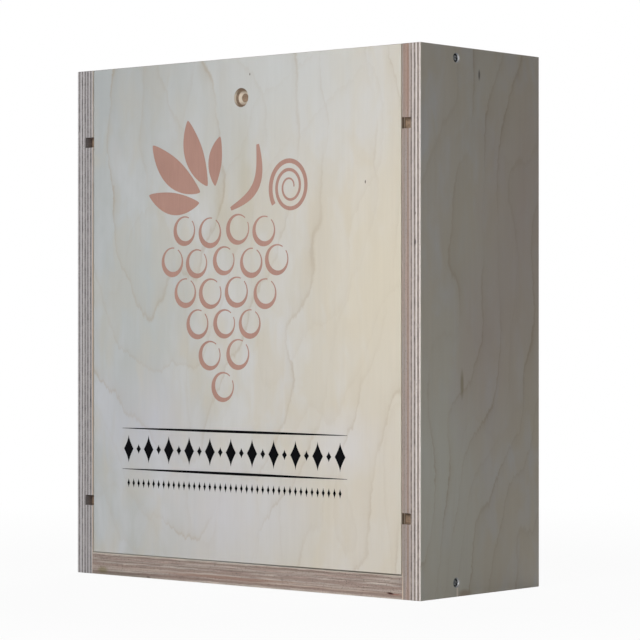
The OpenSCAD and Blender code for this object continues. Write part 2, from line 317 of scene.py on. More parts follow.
    # Edge colours: long grain pale and streaked, end grain darker and speckled
    edgeAt = addNode(tree, "CombineXYZ", None, [depth, grainAlong, plySeed])
    edgeAt = addNode(tree, "VectorMath", {"operation": "MULTIPLY"}, [edgeAt, birch["edgeStreak"]])
    edgeStreak = addNode(tree, "TexNoise", {"Scale": 1.0, "Detail": 3.0}, {"Vector": edgeAt})
    darkest = board.get("streaks", 0.9)
    palest = birch["twiceEdgeTone"] - darkest
    longTone = addNode(tree, "MapRange",
                       {"From Min": 0.25, "From Max": 0.75, "To Min": darkest, "To Max": palest},
                       {"Value": edgeStreak})
    ownTone = addNode(tree, "TexWhiteNoise", {"noise_dimensions": "1D"}, {"W": plySeed}).outputs["Value"]
    ownTone = addNode(tree, "MapRange", {"To Min": 0.88, "To Max": 1.1}, {"Value": ownTone})
    longTone = addNode(tree, "Math", {"operation": "MULTIPLY"}, [longTone, ownTone])
    speckAt = addNode(tree, "VectorMath", {"operation": "SCALE", "Scale": birch["speck"]},
                      {"Vector": scaled})
    speck = addNode(tree, "TexNoise", {"Scale": 1.0, "Detail": 2.0}, {"Vector": speckAt})
    endTone = addNode(tree, "MapRange", {"From Min": 0.3, "From Max": 0.7, "To Min": 0.8, "To Max": 1.18},
                      {"Value": speck})
    nick = addNode(tree, "MapRange", {"From Min": 0.3, "From Max": 0.42, "To Min": board.get("nicks", 0.85)},
                   {"Value": speck})
    longTone = addNode(tree, "Math", {"operation": "MULTIPLY"}, [longTone, nick])
    longColour = addNode(tree, "VectorMath", {"operation": "SCALE"},
                         {"Vector": linearColour(board["edgeLong"])[:3], "Scale": longTone})
    shadeAt = addNode(tree, "CombineXYZ", None, [0.0, along, plySeed])
    shade = addNode(tree, "TexNoise", birch["endShade"], {"Vector": shadeAt})
    shade = addNode(tree, "MapRange", {"From Min": 0.3, "From Max": 0.7, "To Min": 0.55, "To Max": 1.35},
                    {"Value": shade})
    endTone = addNode(tree, "Math", {"operation": "MULTIPLY"}, [endTone, shade])
    endColour = addNode(tree, "VectorMath", {"operation": "SCALE"},
                        {"Vector": linearColour(board["edgeEnd"])[:3], "Scale": endTone})

    # Glue lines between the plies
    middle = addNode(tree, "Math", {"operation": "SUBTRACT"}, [within, 0.5])
    middle = addNode(tree, "Math", {"operation": "ABSOLUTE"}, [middle])
    glue = addNode(tree, "MapRange", {"From Min": 0.44, "From Max": 0.5, "To Max": 0.4}, {"Value": middle})

    edgeColour = addNode(tree, "Mix", {"data_type": "RGBA"}, [endShare, longColour, endColour])
    edgeColour = addNode(tree, "Mix", {"data_type": "RGBA"},
                         [glue, edgeColour, linearColour(birch["glueLine"])])

    # Bands of other colours in the edge, and marks on it
    driftAt = addNode(tree, "VectorMath", {"operation": "MULTIPLY"}, [edgeAt, birch["edgeDrift"]])
    drift = addNode(tree, "TexNoise", {"Scale": 1.0, "Detail": 3.0, "Roughness": 0.6}, {"Vector": driftAt})
    drift = addNode(tree, "MapRange", {"From Min": 0.38, "From Max": 0.62}, {"Value": drift})
    for band in board.get("bands", []):
        begins = addNode(tree, "MapRange",
                         {"From Min": band["from"], "From Max": band["from"] + birch["bandFade"]},
                         {"Value": strayDepth})
        ends = addNode(tree, "MapRange",
                       {"From Min": band["to"], "From Max": band["to"] - birch["bandFade"]},
                       {"Value": strayDepth})
        inside = addNode(tree, "Math", {"operation": "MULTIPLY"}, [begins, ends])
        inside = addNode(tree, "Math", {"operation": "MULTIPLY"}, [inside, band["share"]])
        tone = addNode(tree, "Mix", {"data_type": "RGBA"},
                       [drift, linearColour(band["tone"]), linearColour(band["otherTone"])])
        tone = addNode(tree, "VectorMath", {"operation": "SCALE"}, {"Vector": tone, "Scale": longTone})
        edgeColour = addNode(tree, "Mix", {"data_type": "RGBA"}, [inside, edgeColour, tone])
    for mark in board.get("edgeMarks", []):
        share = spot(tree, strayDepth, along, mark)
        tone = linearColour(mark.get("tone", birch["fleck"]))
        edgeColour = addNode(tree, "Mix", {"data_type": "RGBA"}, [share, edgeColour, tone])

    # Painted shade in the saw cuts, the slots for the rests: their walls are browned and darkened, more so a
    # few millimetres in than at the front edge
    cutDepth = addNode(tree, "Math", {"operation": "COMPARE"},
                       [depth, sawCut["middleDepth"], sawCut["halfDepth"]])
    farIn = addNode(tree, "MapRange", {"From Min": sawCut["paleUpTo"], "From Max": sawCut["shadeFullFrom"]},
                    {"Value": across})
    for cut in board.get("cuts", []):
        inCut = addNode(tree, "Math", {"operation": "COMPARE"}, [along, cut, sawCut["halfTall"]])
        inCut = addNode(tree, "Math", {"operation": "MULTIPLY"}, [inCut, cutDepth])
        inCut = addNode(tree, "Math", {"operation": "MULTIPLY"}, [inCut, farIn])
        brown = addNode(tree, "VectorMath", {"operation": "MULTIPLY"}, [edgeColour, board["slotShade"]])
        edgeColour = addNode(tree, "Mix", {"data_type": "RGBA"}, [inCut, edgeColour, brown])
    finalColour = addNode(tree, "Mix", {"data_type": "RGBA"}, [faceShare, edgeColour, faceColour])

    # Sanded wood: satin, a little rougher where the end grain is open
    rough = addNode(tree, "MapRange", {"To Min": birch["roughness"], "To Max": birch["endRoughness"]},
                    {"Value": endShare})
    relief = addNode(tree, "Math", {"operation": "MULTIPLY_ADD"}, [lines, -0.5, fibre])
    bump = addNode(tree, "Bump", {"Strength": birch["bumpStrength"], "Distance": birch["bumpHeight"]},
                   {"Height": relief})
    shader = addNode(tree, "BsdfPrincipled", {"Specular IOR Level": birch["specular"]},
                     {"Base Color": finalColour, "Roughness": rough, "Normal": bump})
    addNode(tree, "OutputMaterial", None, {"Surface": shader})
    return material


halfWidth = 153.0
height = 350.0
backFace = 63.0
lidFace = -62.8

# The saw cuts are the slots for the rests: how far they lie in the board's thickness, half their
# height, and the y at which their browned painted shade starts and is full
sawCut = {"middleDepth": 11.6, "halfDepth": 3.7, "halfTall": 3.6, "paleUpTo": -62.0, "shadeFullFrom": -56.0}
plainRings = {"rings": 9.0, "ringStrength": 0.3}
# A board's slot tint multiplies the colour in its saw cuts as painted shade; the left board's is lighter
sideEdge = {"thickness": 15.0, "plies": 11, "plyWander": 0.5, "edgeLong": "#D9D0CD", "edgeEnd": "#938880",
            "nicks": 0.6, "cuts": [300.0, 51.0], "slotShade": (0.42, 0.3, 0.2)}
endEdge = {"thickness": 15.0, "plies": 11, "plyWander": 2.4, "edgeLong": "#C1B4AA", "edgeEnd": "#8E7D73",
           "streaks": 0.56, "nicks": 0.4,
           "bands": [{"from": 0.2, "to": 16.0, "share": 0.8, "tone": "#B8ADA4", "otherTone": "#968078"}]}
thinEdge = {"thickness": 6.5, "plies": 5, "plyWander": 0.4, "edgeLong": "#C8BBB3", "edgeEnd": "#94877F"}
# A board's axes are those of its depth, its length and its width; clouds and marks are ovals by
# their middle and half sizes, and an edge mark's "across" is its depth in the board
boards = {
    "left_side": {
        "axes": "XZY", "into": 1, "faceAt": -halfWidth, "seed": 3.1, **plainRings,
        **sideEdge, "edgeLong": "#C5C1C2", "edgeEnd": "#8E8989", "slotShade": (0.95, 0.76, 0.64),
        "edgeMarks": [
            {"across": 14.9, "along": 150.0, "wide": 0.6, "tall": 260.0, "tone": "#CBA88C"},
        ]},
    "right_side": {
        "axes": "XZY", "into": -1, "faceAt": halfWidth, "seed": 8.4, "rings": 5.0, "ringStrength": 0.05,
        "grain": {"middle": (-250.0, 60.0), "stretch": 3.5, "lean": 0.3, "spacing": 23.0,
                  "wave": (64.0, 150.0), "wander": 105.0, "strength": (0.12, 0.5)},
        "clouds": [
            {"across": 50.0, "along": 250.0, "wide": 60.0, "tall": 110.0, "tone": "#D2C4BA",
             "core": 0.0, "strength": 0.8},
            # A paler patch of the wood low on the side, brightened further as painted light of the floor's
            # bounce
            {"across": -45.0, "along": 70.0, "wide": 60.0, "tall": 130.0, "tone": "#DEDED2",
             "core": 0.0, "strength": 0.8},
            {"across": 8.0, "along": 165.0, "wide": 50.0, "tall": 95.0, "tone": "#CFC2BA",
             "core": 0.0, "strength": 0.6},
        ],
        "marks": [
            {"across": -2.4, "along": 333.5, "wide": 1.3, "tall": 4.2, "tone": "#3C3626", "strength": 0.7},
            {"across": -20.5, "along": 135.0, "wide": 2.2, "tall": 11.0, "tone": "#9A8C66", "strength": 0.6},
            # Pale crescents beside the upper and lower screw heads: crushed fibres, made pale as painted
            # light on the countersinks' lit far walls
            {"across": -25.2, "along": 342.5, "wide": 3.9, "tall": 4.1, "tone": "#DCDAD6", "strength": 0.8},
            {"across": -25.2, "along": 8.7, "wide": 3.9, "tall": 4.1, "tone": "#DCDAD6", "strength": 0.8},
            {"across": -18.0, "along": 1.0, "wide": 8.0, "tall": 4.0, "tone": "#A5876C", "strength": 0.5},
            {"across": -25.4, "along": 2.2, "wide": 1.2, "tall": 6.0, "tone": "#FBF2E6"},
        ],
        "edgeMarks": [
            {"across": 4.4, "along": 225.0, "wide": 0.8, "tall": 2.6, "tone": "#2E241E"},
            {"across": 4.2, "along": 243.0, "wide": 0.5, "tall": 1.2, "tone": "#4B3D34"},
            {"across": 11.8, "along": 342.0, "wide": 3.6, "tall": 60.0, "tone": "#A88270", "strength": 0.4},
            {"across": 14.8, "along": 0.0, "wide": 0.8, "tall": 26.0, "tone": "#E4D3C0"},
        ],
        "bands": [{"from": 8.4, "to": 16.0, "share": 0.8, "tone": "#A68C80", "otherTone": "#9B908A"}],
        **sideEdge},
    "top_end": {"axes": "ZXY", "into": -1, "faceAt": height, "seed": 12.7, **plainRings, **endEdge},
    "bottom_end": {
        "axes": "ZXY", "into": 1, "faceAt": 0.0, "seed": 21.9, **plainRings, **endEdge,
        "edgeMarks": [
            {"across": 14.9, "along": 0.0, "wide": 0.8, "tall": 300.0, "tone": "#C4BAAE", "strength": 0.9},
            {"across": 5.8, "along": -60.0, "wide": 0.8, "tall": 90.0, "tone": "#C6B6AA", "strength": 0.6},
            {"across": 3.2, "along": 70.0, "wide": 0.7, "tall": 110.0, "tone": "#C0AC9E", "strength": 0.6},
            {"across": 4.6, "along": -10.0, "wide": 1.4, "tall": 75.0, "tone": "#8C6252", "strength": 0.55},
            {"across": 3.2, "along": 132.0, "wide": 0.6, "tall": 8.0, "tone": "#8C5548", "strength": 0.7},
            {"across": 3.5, "along": 128.6, "wide": 0.9, "tall": 3.4, "tone": "#35120C"},
            {"across": 0.6, "along": -84.0, "wide": 0.9, "tall": 2.5, "tone": "#4B3B33", "strength": 0.8},
            {"across": 3.0, "along": -128.0, "wide": 3.5, "tall": 6.0, "tone": "#77703A", "strength": 0.5},
            {"across": 1.0, "along": -110.0, "wide": 2.4, "tall": 45.0, "tone": "#5F5A50", "strength": 0.5},
        ]},
    "back_panel": {"axes": "YZX", "into": -1, "faceAt": backFace, "seed": 27.2, **plainRings,
                   "rings": 10.0, **thinEdge},
    # The back ply of the lid is sanded thin, so its plies don't divide its thickness evenly
    "sliding_lid": {
        "axes": "YZX", "into": 1, "faceAt": lidFace, "seed": 33.6, "rings": 7.0, "ringStrength": 0.08,
        "thickness": 9.0, "plies": 6.6, "plyWander": 0.2, "edgeLong": "#DED3C2", "edgeEnd": "#8E7966",
        "coolToWarm": (-137.0, 100.0), "tan": 0.3, "pale": 0.42,
        "grain": {"middle": (-70.0, 300.0), "stretch": 1.8, "lean": 0.0, "spacing": 29.0,
                  "wave": (48.0, 95.0), "wander": 58.0, "strength": (0.16, 0.46), "fadesInwards": True},
        "clouds": [
            {"across": -75.0, "along": 360.0, "wide": 150.0, "tall": 110.0, "tone": "#B2B7B8",
             "core": 0.0, "strength": 0.6},
            {"across": 40.0, "along": 340.0, "wide": 130.0, "tall": 90.0, "tone": "#D0D2D1",
             "core": 0.0, "strength": 0.9},
            {"across": 128.0, "along": 70.0, "wide": 75.0, "tall": 120.0, "tone": "#D8D0C2",
             "core": 0.1, "strength": 0.75},
            {"across": 120.0, "along": 205.0, "wide": 60.0, "tall": 90.0, "tone": "#DDD4C0",
             "core": 0.0, "strength": 0.7},
            {"across": 84.0, "along": 95.0, "wide": 45.0, "tall": 28.0, "tone": "#DAD8DA",
             "core": 0.2, "strength": 0.6},
            {"across": -85.0, "along": 105.0, "wide": 60.0, "tall": 50.0, "tone": "#CCCDD6",
             "core": 0.1, "strength": 0.7},
            {"across": -20.0, "along": 50.0, "wide": 90.0, "tall": 60.0, "tone": "#D4D3D7",
             "core": 0.1, "strength": 0.8},
            {"across": -95.0, "along": 205.0, "wide": 60.0, "tall": 80.0, "tone": "#BBC2C3",
             "core": 0.0, "strength": 0.55},
            {"across": -8.0, "along": 268.0, "wide": 14.0, "tall": 55.0, "tone": "#BFB69A",
             "core": 0.1, "strength": 0.35},
        ],
        "marks": [
            {"across": 9.0, "along": 338.5, "wide": 0.6, "tall": 1.0},
            {"across": 108.0, "along": 264.0, "wide": 0.6, "tall": 1.4},
            # Painted shade: a dark line along the lid's foot, where it meets the bottom end across a gap
            {"across": 110.0, "along": 15.2, "wide": 190.0, "tall": 0.9, "tone": "#352D26", "strength": 0.9},
        ]},
    "neck_rest": {"axes": "ZXY", "into": 1, "faceAt": 296.5, "seed": 41.3, **plainRings, **thinEdge},
    "bottle_rest": {"axes": "ZXY", "into": 1, "faceAt": 47.5, "seed": 55.8, **plainRings, **thinEdge},
}
for node, board in boards.items():
    material = plywood("birchPlywoodSanded_" + node, board)
    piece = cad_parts[node]
    piece.data.materials.clear()
    piece.data.materials.append(material)
print("plywood on", len(boards), "boards")


def addMesh(name, vertices, faces, material, creaseAt=30.0):
    # vertices in millimetres as rows, faces as rows of four corners
    mesh = bpy.data.meshes.new(name)
    mesh.vertices.add(len(vertices))
    mesh.vertices.foreach_set("co", (vertices / toMillimetres).astype(np.float32).ravel())
    mesh.loops.add(faces.size)
    mesh.loops.foreach_set("vertex_index", faces.astype(np.int32).ravel())
    mesh.polygons.add(len(faces))
    mesh.polygons.foreach_set("loop_start", np.arange(0, faces.size, 4, dtype=np.int32))
    mesh.update()
    mesh.validate()
    mesh.set_sharp_from_angle(angle=np.radians(creaseAt))
    mesh.materials.append(material)
    piece = bpy.data.objects.new(name, mesh)
    bpy.context.scene.collection.objects.link(piece)
    return piece


def gridFaces(rows, columns, closed):
    # Quads over a grid of rows by columns, its columns joined into a loop where closed
    wide = columns if closed else columns - 1
    row, column = np.meshgrid(np.arange(rows - 1), np.arange(wide), indexing="ij")
    after = (column + 1) % columns
    here, below = row * columns, (row + 1) * columns
    corners = [here + column, here + after, below + after, below + column]
    return np.stack(corners, -1).reshape(-1, 4)


# Wood screws, countersunk with a cross recess: zinc-plated steel that has dulled. The eye gets a
# dark ring of painted shade (the shadow of a gap round the sunk head) between a grey recess and a thin paler
# rim.
upperScrew = 342.8
lowerScrew = 9.0
screw = {
    "headRadius": 3.15,
    "rim": 0.3,
    "cone": 1.4,
    "shankRadius": 1.3,
    "rootRadius": 1.15,
    "threadRadius": 1.75,
    "pitch": 1.8,
    "ridgeHalf": 0.22,        # of the pitch, half the foot of the thread's ridge
    "ridgeShape": 1.3,        # over 1 makes the ridge's flanks hollow
    "length": 40.0,
    "point": 5.0,
    "smooth": 14.0,           # mm from the head's face to where the thread starts
    "threadGrows": 1.5,       # mm in which it comes to its full height
    "headY": -26.5,
    "sunk": 0.3,
    "recessReach": 1.9,
    "recessHalf": 0.5,
    "recessDepth": 1.3,
    "wallSlope": 0.09,        # mm over which the cross's walls slope, and the next for its ends
    "endSlope": 0.12,
    "dish": 0.75,             # mm that the head lies below its rim
    "dishRadius": 3.12,
    "dishSlope": 0.5,
    "shankFrom": 2.3,         # mm below the head's face, where the cone has ended
    "columns": 96,
    "threadRows": 260,
    "places": {"screw_top_left": (-1, upperScrew, 0.4), "screw_top_right": (1, upperScrew, 0.2),
               "screw_bottom_left": (-1, lowerScrew, 1.1), "screw_bottom_right": (1, lowerScrew, 0.7)},
}


def screwSurface(turn):
    # A polar sheet over the head, sunk along the cross, then the cone, the shank and the thread:
    # the thread's radius is a ridge that climbs with the angle.
    angle = np.linspace(0, 2 * np.pi, screw["columns"], endpoint=False)
    # Rings over the head, close together as far as the recess reaches
    overHead = [[0.02], np.linspace(0.06, 2.3, 46), np.linspace(2.4, screw["headRadius"], 8)]
    r, a = np.meshgrid(np.concatenate(overHead), angle, indexing="ij")
    u, v = r * np.cos(a + turn), r * np.sin(a + turn)
    reach = np.maximum(np.abs(u), np.abs(v))
    off = np.minimum(np.abs(u), np.abs(v))
    # The cross's arms are narrower and shallower towards their ends
    half = screw["recessHalf"] * (1.15 - 0.35 * reach / screw["recessReach"])
    wall = np.clip((half - off) / screw["wallSlope"], 0, 1)
    wall = wall * np.clip((screw["recessReach"] - reach) / screw["endSlope"], 0, 1)
    down = -wall * (screw["recessDepth"] * np.clip(1.1 - 0.55 * reach / screw["recessReach"], 0, 1))
    down = down - screw["dish"] * np.clip((screw["dishRadius"] - r) / screw["dishSlope"], 0, 1)
    smooth, length = screw["smooth"], screw["length"]
    underHead = [[screw["rim"]], [screw["rim"] + screw["cone"]],
                 np.linspace(screw["shankFrom"], smooth, 8),
                 np.linspace(smooth + 0.15, length, screw["threadRows"])]
    s, b = np.meshgrid(np.concatenate(underHead), angle, indexing="ij")
    climb = (s / screw["pitch"] - b / (2 * np.pi)) % 1.0
    ridge = np.clip(1 - np.abs(climb - 0.5) / screw["ridgeHalf"], 0, 1) ** screw["ridgeShape"]
    grows = np.clip((s - smooth) / screw["threadGrows"], 0, 1)
    taper = np.clip((length - s) / screw["point"], 0.0, 1.0)
    shank = (screw["shankRadius"] + (screw["rootRadius"] - screw["shankRadius"]) * grows
             + (screw["threadRadius"] - screw["rootRadius"]) * ridge * grows)
    tip = length - screw["point"]
    body = np.where(s <= screw["rim"], screw["headRadius"], shank * np.where(s > tip, taper, 1.0))
    outline = np.concatenate([r, body])
    inward = np.concatenate([-down, s])
    angles = np.concatenate([a, b])
    points = np.stack([inward, outline * np.cos(angles), outline * np.sin(angles)], -1).reshape(-1, 3)
    return points, gridFaces(len(outline), screw["columns"], True)


zinc = {
    "cloud": {"Scale": 900.0, "Detail": 4.0, "Roughness": 0.6},     # waves per m, a cloud every 1.1 mm
    "smoothest": 0.28,
    "roughest": 0.5,
    "bloomMetal": 0.25,       # how much of a metal the bloomed zinc still is
}


def zincSteel(name, dull, bright, head=None):
    # Dulled zinc plating: cloudy grey metal, rougher where it is cloudy. A head gets a dark ring of painted
    # shade round its recess; in the recess the zinc has bloomed, so it is hardly a metal there.
    material, tree = newMaterial(name)
    coords = addNode(tree, "TexCoord")
    cloud = addNode(tree, "TexNoise", zinc["cloud"], {"Vector": coords.outputs["Object"]})
    tone = addNode(tree, "Mix", {"data_type": "RGBA"}, [cloud, linearColour(dull), linearColour(bright)])
    if head:
        place = addNode(tree, "VectorMath", {"operation": "SCALE", "Scale": toMillimetres},
                        {"Vector": coords.outputs["Object"]})
        place = addNode(tree, "SeparateXYZ", None, [place])
        y = addNode(tree, "Math", {"operation": "SUBTRACT"}, [place.outputs["Y"], head["y"]])
        z = addNode(tree, "Math", {"operation": "SUBTRACT"}, [place.outputs["Z"], head["middle"]])
        z = addNode(tree, "Math", {"operation": "ABSOLUTE"}, [z])
        z = addNode(tree, "Math", {"operation": "SUBTRACT"}, [z, head["apart"]])
        radius = addNode(tree, "CombineXYZ", None, [y, z, 0.0])
        radius = addNode(tree, "VectorMath", {"operation": "LENGTH"}, [radius]).outputs["Value"]
        shadowRingIn, shadowRingOut = head["shadowRingIn"], head["shadowRingOut"]
        within = addNode(tree, "MapRange", {"From Min": shadowRingIn[0], "From Max": shadowRingIn[1]},
                         {"Value": radius})
        beyond = addNode(tree, "MapRange", {"From Min": shadowRingOut[1], "From Max": shadowRingOut[0]},
                         {"Value": radius})
        shadowRing = addNode(tree, "Math", {"operation": "MULTIPLY"}, [within, beyond])
        tone = addNode(tree, "Mix", {"data_type": "RGBA"}, [shadowRing, tone, linearColour(head["shadowRing"])])
    rough = addNode(tree, "MapRange", {"To Min": zinc["smoothest"], "To Max": zinc["roughest"]},
                    {"Value": cloud})
    shader = addNode(tree, "BsdfPrincipled", {"Metallic": 1.0}, {"Base Color": tone, "Roughness": rough})
    if head:
        bloomFrom, bloomTo = head["bloom"]
        bloom = addNode(tree, "MapRange", {"From Min": bloomFrom, "From Max": bloomTo,
                                           "To Min": zinc["bloomMetal"]}, {"Value": radius})
        tree.links.new(bloom.outputs["Result"], shader.inputs["Metallic"])
    addNode(tree, "OutputMaterial", None, {"Surface": shader})
    return material


# One material serves all four heads, by how far each lies above or below the height midway
# between them. The pairs are radii: where the painted shade ring comes in, where it goes and where the bloom
# ends.
headPlaces = {"y": screw["headY"], "middle": (upperScrew + lowerScrew) / 2,
              "apart": (upperScrew - lowerScrew) / 2, "shadowRing": "#17181A",
              "shadowRingIn": (1.45, 1.75), "shadowRingOut": (2.55, 2.75), "bloom": (1.3, 1.7)}
screwSteel = zincSteel("zincPlatedSteelDulled", "#7B7E80", "#A9ACAE", headPlaces)
for node, (outward, z, turn) in screw["places"].items():
    points, faces = screwSurface(turn)
    x = outward * (halfWidth - screw["sunk"] - points[:, 0])
    placed = np.stack([x, screw["headY"] + points[:, 1], z + points[:, 2]], -1)
    piece = addMesh(node + "_threaded", placed, faces if outward > 0 else faces[:, ::-1], screwSteel)
    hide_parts(node)
    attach(piece, "box")
# The brads are bright drawn steel wire, of which only small round heads show at the back
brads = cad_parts["back_brads"]
brads.data.materials.clear()
brads.data.materials.append(zincSteel("brightSteelDrawn", "#6C6F73", "#A4A7AB"))
print("screws:", len(screw["places"]))


# The print, screened on the lid in two thin layers of ink. In terracotta: open rings as a bunch of
# grapes, with four leaves, a stem and a coiled tendril. In black: a level band of lozenges between
# two lines, and a row of small lozenges below it.
inkPrint = {
    "thickness": 0.05,
    "face": lidFace - 0.05,
    "bunchTop": (-14.0, 236.0),
    "rows": [4, 5, 4, 3, 2, 1],
    "grapeRadius": 9.0,
    "grapePitch": 24.0,
    "rowPitch": 0.86,         # of the grape pitch
    "ringGap": (0.25, 0.15),  # radians left open after a ring's start and before its end
    "ringPress": (0.4, 1.45, 1.4),      # half width at the start, how much it gains, how late
    "leafFoot": (-10.0, 17.0),          # from the top of the bunch, as are the stem and the tendril
    "leafBend": 0.07,
    # Each leaf's angle in degrees, where it starts and ends from the foot, and its half width
    "leaves": [(172, 13, 60, 7.5), (143, 15, 70, 9.5), (112, 14, 62, 8.5), (82, 13, 46, 6.0)],
    "stem": ((6.0, 14.0), (30.0, 56.0)),
    "stemStroke": (-0.25, 3.2, 1.2),    # bend, thick and thin
    "tendrilAt": (58.0, 27.0),
    "tendrilTurns": 2.6,
    "tendrilRadii": (4.0, 19.0),
    "tendrilWidth": 0.9,      # of its height
    "tendrilPress": (0.5, 1.7),
    "middle": -8.0,
    "ornamentRow": 88.0,
    "ornamentPitch": 19.0,
    "ornaments": 11,
    "large": (9.0, 19.0),     # mm wide and tall
    "small": (4.2, 7.0),
    "tiny": (2.4, 6.5),
    "tinyDrop": 23.5,
    "lineGap": 14.0,
    "lineOver": 6.0,
    "lineThick": 0.9,
}


def inkSlab(front):
    # front: rows of (x, z) along a shape, each row a section across it. The slab is closed: its
    # front, its edges and its back, which lies on the lid.
    rows, columns = front.shape[:2]
    near = np.full((rows, columns), inkPrint["face"])
    far = np.full((rows, columns), inkPrint["face"] + inkPrint["thickness"])
    loop = np.concatenate([front, front[:, ::-1]], 1)
    depth = np.concatenate([near, far], 1)
    points = np.stack([loop[..., 0], depth, loop[..., 1]], -1)
    cap = np.arange(columns - 1)
    caps = []
    for row in (0, rows - 1):
        start = row * 2 * columns
        last = start + 2 * columns - 1
        corners = [start + cap, start + cap + 1, last - 1 - cap, last - cap]
        caps.append(np.stack(corners if row == 0 else corners[::-1], -1))
    return points.reshape(-1, 3), np.concatenate([gridFaces(rows, 2 * columns, True)] + caps)


def stroke(x, z, press):
    # A brush stroke: sections square to its middle line, each reaching as far to either side as
    # the brush was pressed there
    alongX, alongZ = np.gradient(x), np.gradient(z)
    length = np.hypot(alongX, alongZ)
    across = np.linspace(-1, 1, 5)
    sideX = (x[:, None] - alongZ[:, None] / length[:, None] * press[:, None] * across)
    sideZ = (z[:, None] + alongX[:, None] / length[:, None] * press[:, None] * across)
    return inkSlab(np.stack([sideX, sideZ], -1))


def bow(start, end, bend, thick, thin=0.25, steps=60):
    # A stroke between two points, bowed sideways by "bend" of its length and swelling towards its
    # middle from half width "thin" to "thick": both follow the sine of half a turn
    t = np.linspace(0, 1, steps)
    (x0, z0), (x1, z1) = start, end
    swell = np.sin(np.pi * t)
    x = x0 + (x1 - x0) * t - (z1 - z0) * bend * swell
    z = z0 + (z1 - z0) * t + (x1 - x0) * bend * swell
    return stroke(x, z, thin + (thick - thin) * swell ** 0.8)


def lozenge(x, z, size):
    # A diamond whose four sides are hollow: half width = (1 - share of half height) to the 1.5
    wide, tall = size
    t = np.linspace(-1, 1, 41)
    return stroke(np.full(41, x), z + t * tall / 2, 0.02 + wide / 2 * (1 - np.abs(t)) ** 1.5)


def joined(shapes):
    # Several shapes as one mesh, each one's faces counted on from the points before it
    points, faces, count = [], [], 0
    for shapePoints, shapeFaces in shapes:
        points.append(shapePoints)
        faces.append(shapeFaces + count)
        count += len(shapePoints)
    return np.concatenate(points), np.concatenate(faces)


def grape(x, z, radius, start):
    # A ring drawn in one turn of the brush, thick opposite its start and thin where it closes
    afterStart, beforeEnd = inkPrint["ringGap"]
    thin, gain, late = inkPrint["ringPress"]
    angle = np.linspace(start + afterStart, start + 2 * np.pi - beforeEnd, 90)
    press = thin + gain * (0.5 - 0.5 * np.cos(angle - start)) ** late
    return stroke(x + radius * np.cos(angle), z + radius * np.sin(angle), press)


centreX, topZ = inkPrint["bunchTop"]
shapes = []
for row, count in enumerate(inkPrint["rows"]):
    for place in range(count):
        # Each ring strays by under a millimetre and turns a little, as if drawn by hand
        nudgeX = 0.8 * np.sin(7.3 * row + 4.1 * place)
        nudgeZ = 0.8 * np.cos(5.7 * row + 3.3 * place)
        x = centreX + (place - (count - 1) / 2) * inkPrint["grapePitch"] + nudgeX
        z = topZ - row * inkPrint["grapePitch"] * inkPrint["rowPitch"] + nudgeZ
        radius = inkPrint["grapeRadius"] + 0.3 * np.sin(3.1 * row + place)
        shapes.append(grape(x, z, radius, 0.9 + 0.3 * np.sin(row + 2.2 * place)))
bunchTop = np.array(inkPrint["bunchTop"])
leafFoot = bunchTop + inkPrint["leafFoot"]
for angle, gap, length, thick in inkPrint["leaves"]:
    heading = np.array([np.cos(np.radians(angle)), np.sin(np.radians(angle))])
    shapes.append(bow(leafFoot + gap * heading, leafFoot + length * heading, inkPrint["leafBend"], thick))
stemFoot, stemTip = inkPrint["stem"]
shapes.append(bow(bunchTop + stemFoot, bunchTop + stemTip, *inkPrint["stemStroke"]))
# The tendril is a spiral whose radius grows evenly with its turns
turns = np.linspace(0, 1, 220)
spin = 2 * inkPrint["tendrilTurns"] * np.pi * turns
inner, outer = inkPrint["tendrilRadii"]
coil = inner + (outer - inner) * turns
coilX, coilZ = bunchTop + inkPrint["tendrilAt"]
thin, thick = inkPrint["tendrilPress"]
coilWidth = inkPrint["tendrilWidth"]
shapes.append(stroke(coilX + coil * np.cos(spin) * coilWidth, coilZ + coil * np.sin(spin),
                     thin + (thick - thin) * turns))
terracottaShapes = joined(shapes)

shapes = []
rowZ = inkPrint["ornamentRow"]
span = (inkPrint["ornaments"] - 1) / 2 * inkPrint["ornamentPitch"]
inset = inkPrint["ornamentPitch"] / 2
ornamentRows = (
    (rowZ, span, inkPrint["ornaments"], inkPrint["large"]),
    (rowZ, span - inset, inkPrint["ornaments"] - 1, inkPrint["small"]),
    (rowZ - inkPrint["tinyDrop"], span, 4 * inkPrint["ornaments"] - 3, inkPrint["tiny"]),
)
for z, reach, count, size in ornamentRows:
    for place in np.linspace(-reach, reach, count) + inkPrint["middle"]:
        shapes.append(lozenge(place, z, size))
lineReach = span + inkPrint["lineOver"]
for z in (rowZ + inkPrint["lineGap"], rowZ - inkPrint["lineGap"]):
    ends = [(inkPrint["middle"] + way * lineReach, z) for way in (-1, 1)]
    shapes.append(bow(*ends, 0.0, inkPrint["lineThick"], 0.12))
blackShapes = joined(shapes)


ink = {
    "fibre": (1400.0, 1400.0, 45.0),     # waves per m, longest up the lid
    "broad": {"Scale": 28.0, "Detail": 3.0},
    "roughness": 0.85,
    "specular": 0.05,
}


def screenInk(name, tone, deep):
    # Matt screen ink on bare wood: the fibre shows through as faint pale streaks along the grain
    material, tree = newMaterial(name)
    coords = addNode(tree, "TexCoord")
    fine = addNode(tree, "Mapping", {"Scale": ink["fibre"]}, {"Vector": coords.outputs["Object"]})
    fibre = addNode(tree, "TexNoise", {"Scale": 1.0, "Detail": 4.0, "Roughness": 0.65}, {"Vector": fine})
    broad = addNode(tree, "TexNoise", ink["broad"], {"Vector": coords.outputs["Object"]})
    wear = addNode(tree, "Math", {"operation": "ADD"}, [fibre, broad])
    wear = addNode(tree, "MapRange", {"From Min": 0.7, "From Max": 1.35}, {"Value": wear})
    colour = addNode(tree, "Mix", {"data_type": "RGBA"}, [wear, linearColour(deep), linearColour(tone)])
    shader = addNode(tree, "BsdfPrincipled",
                     {"Roughness": ink["roughness"], "Specular IOR Level": ink["specular"]},
                     {"Base Color": colour})
    addNode(tree, "OutputMaterial", None, {"Surface": shader})
    return material


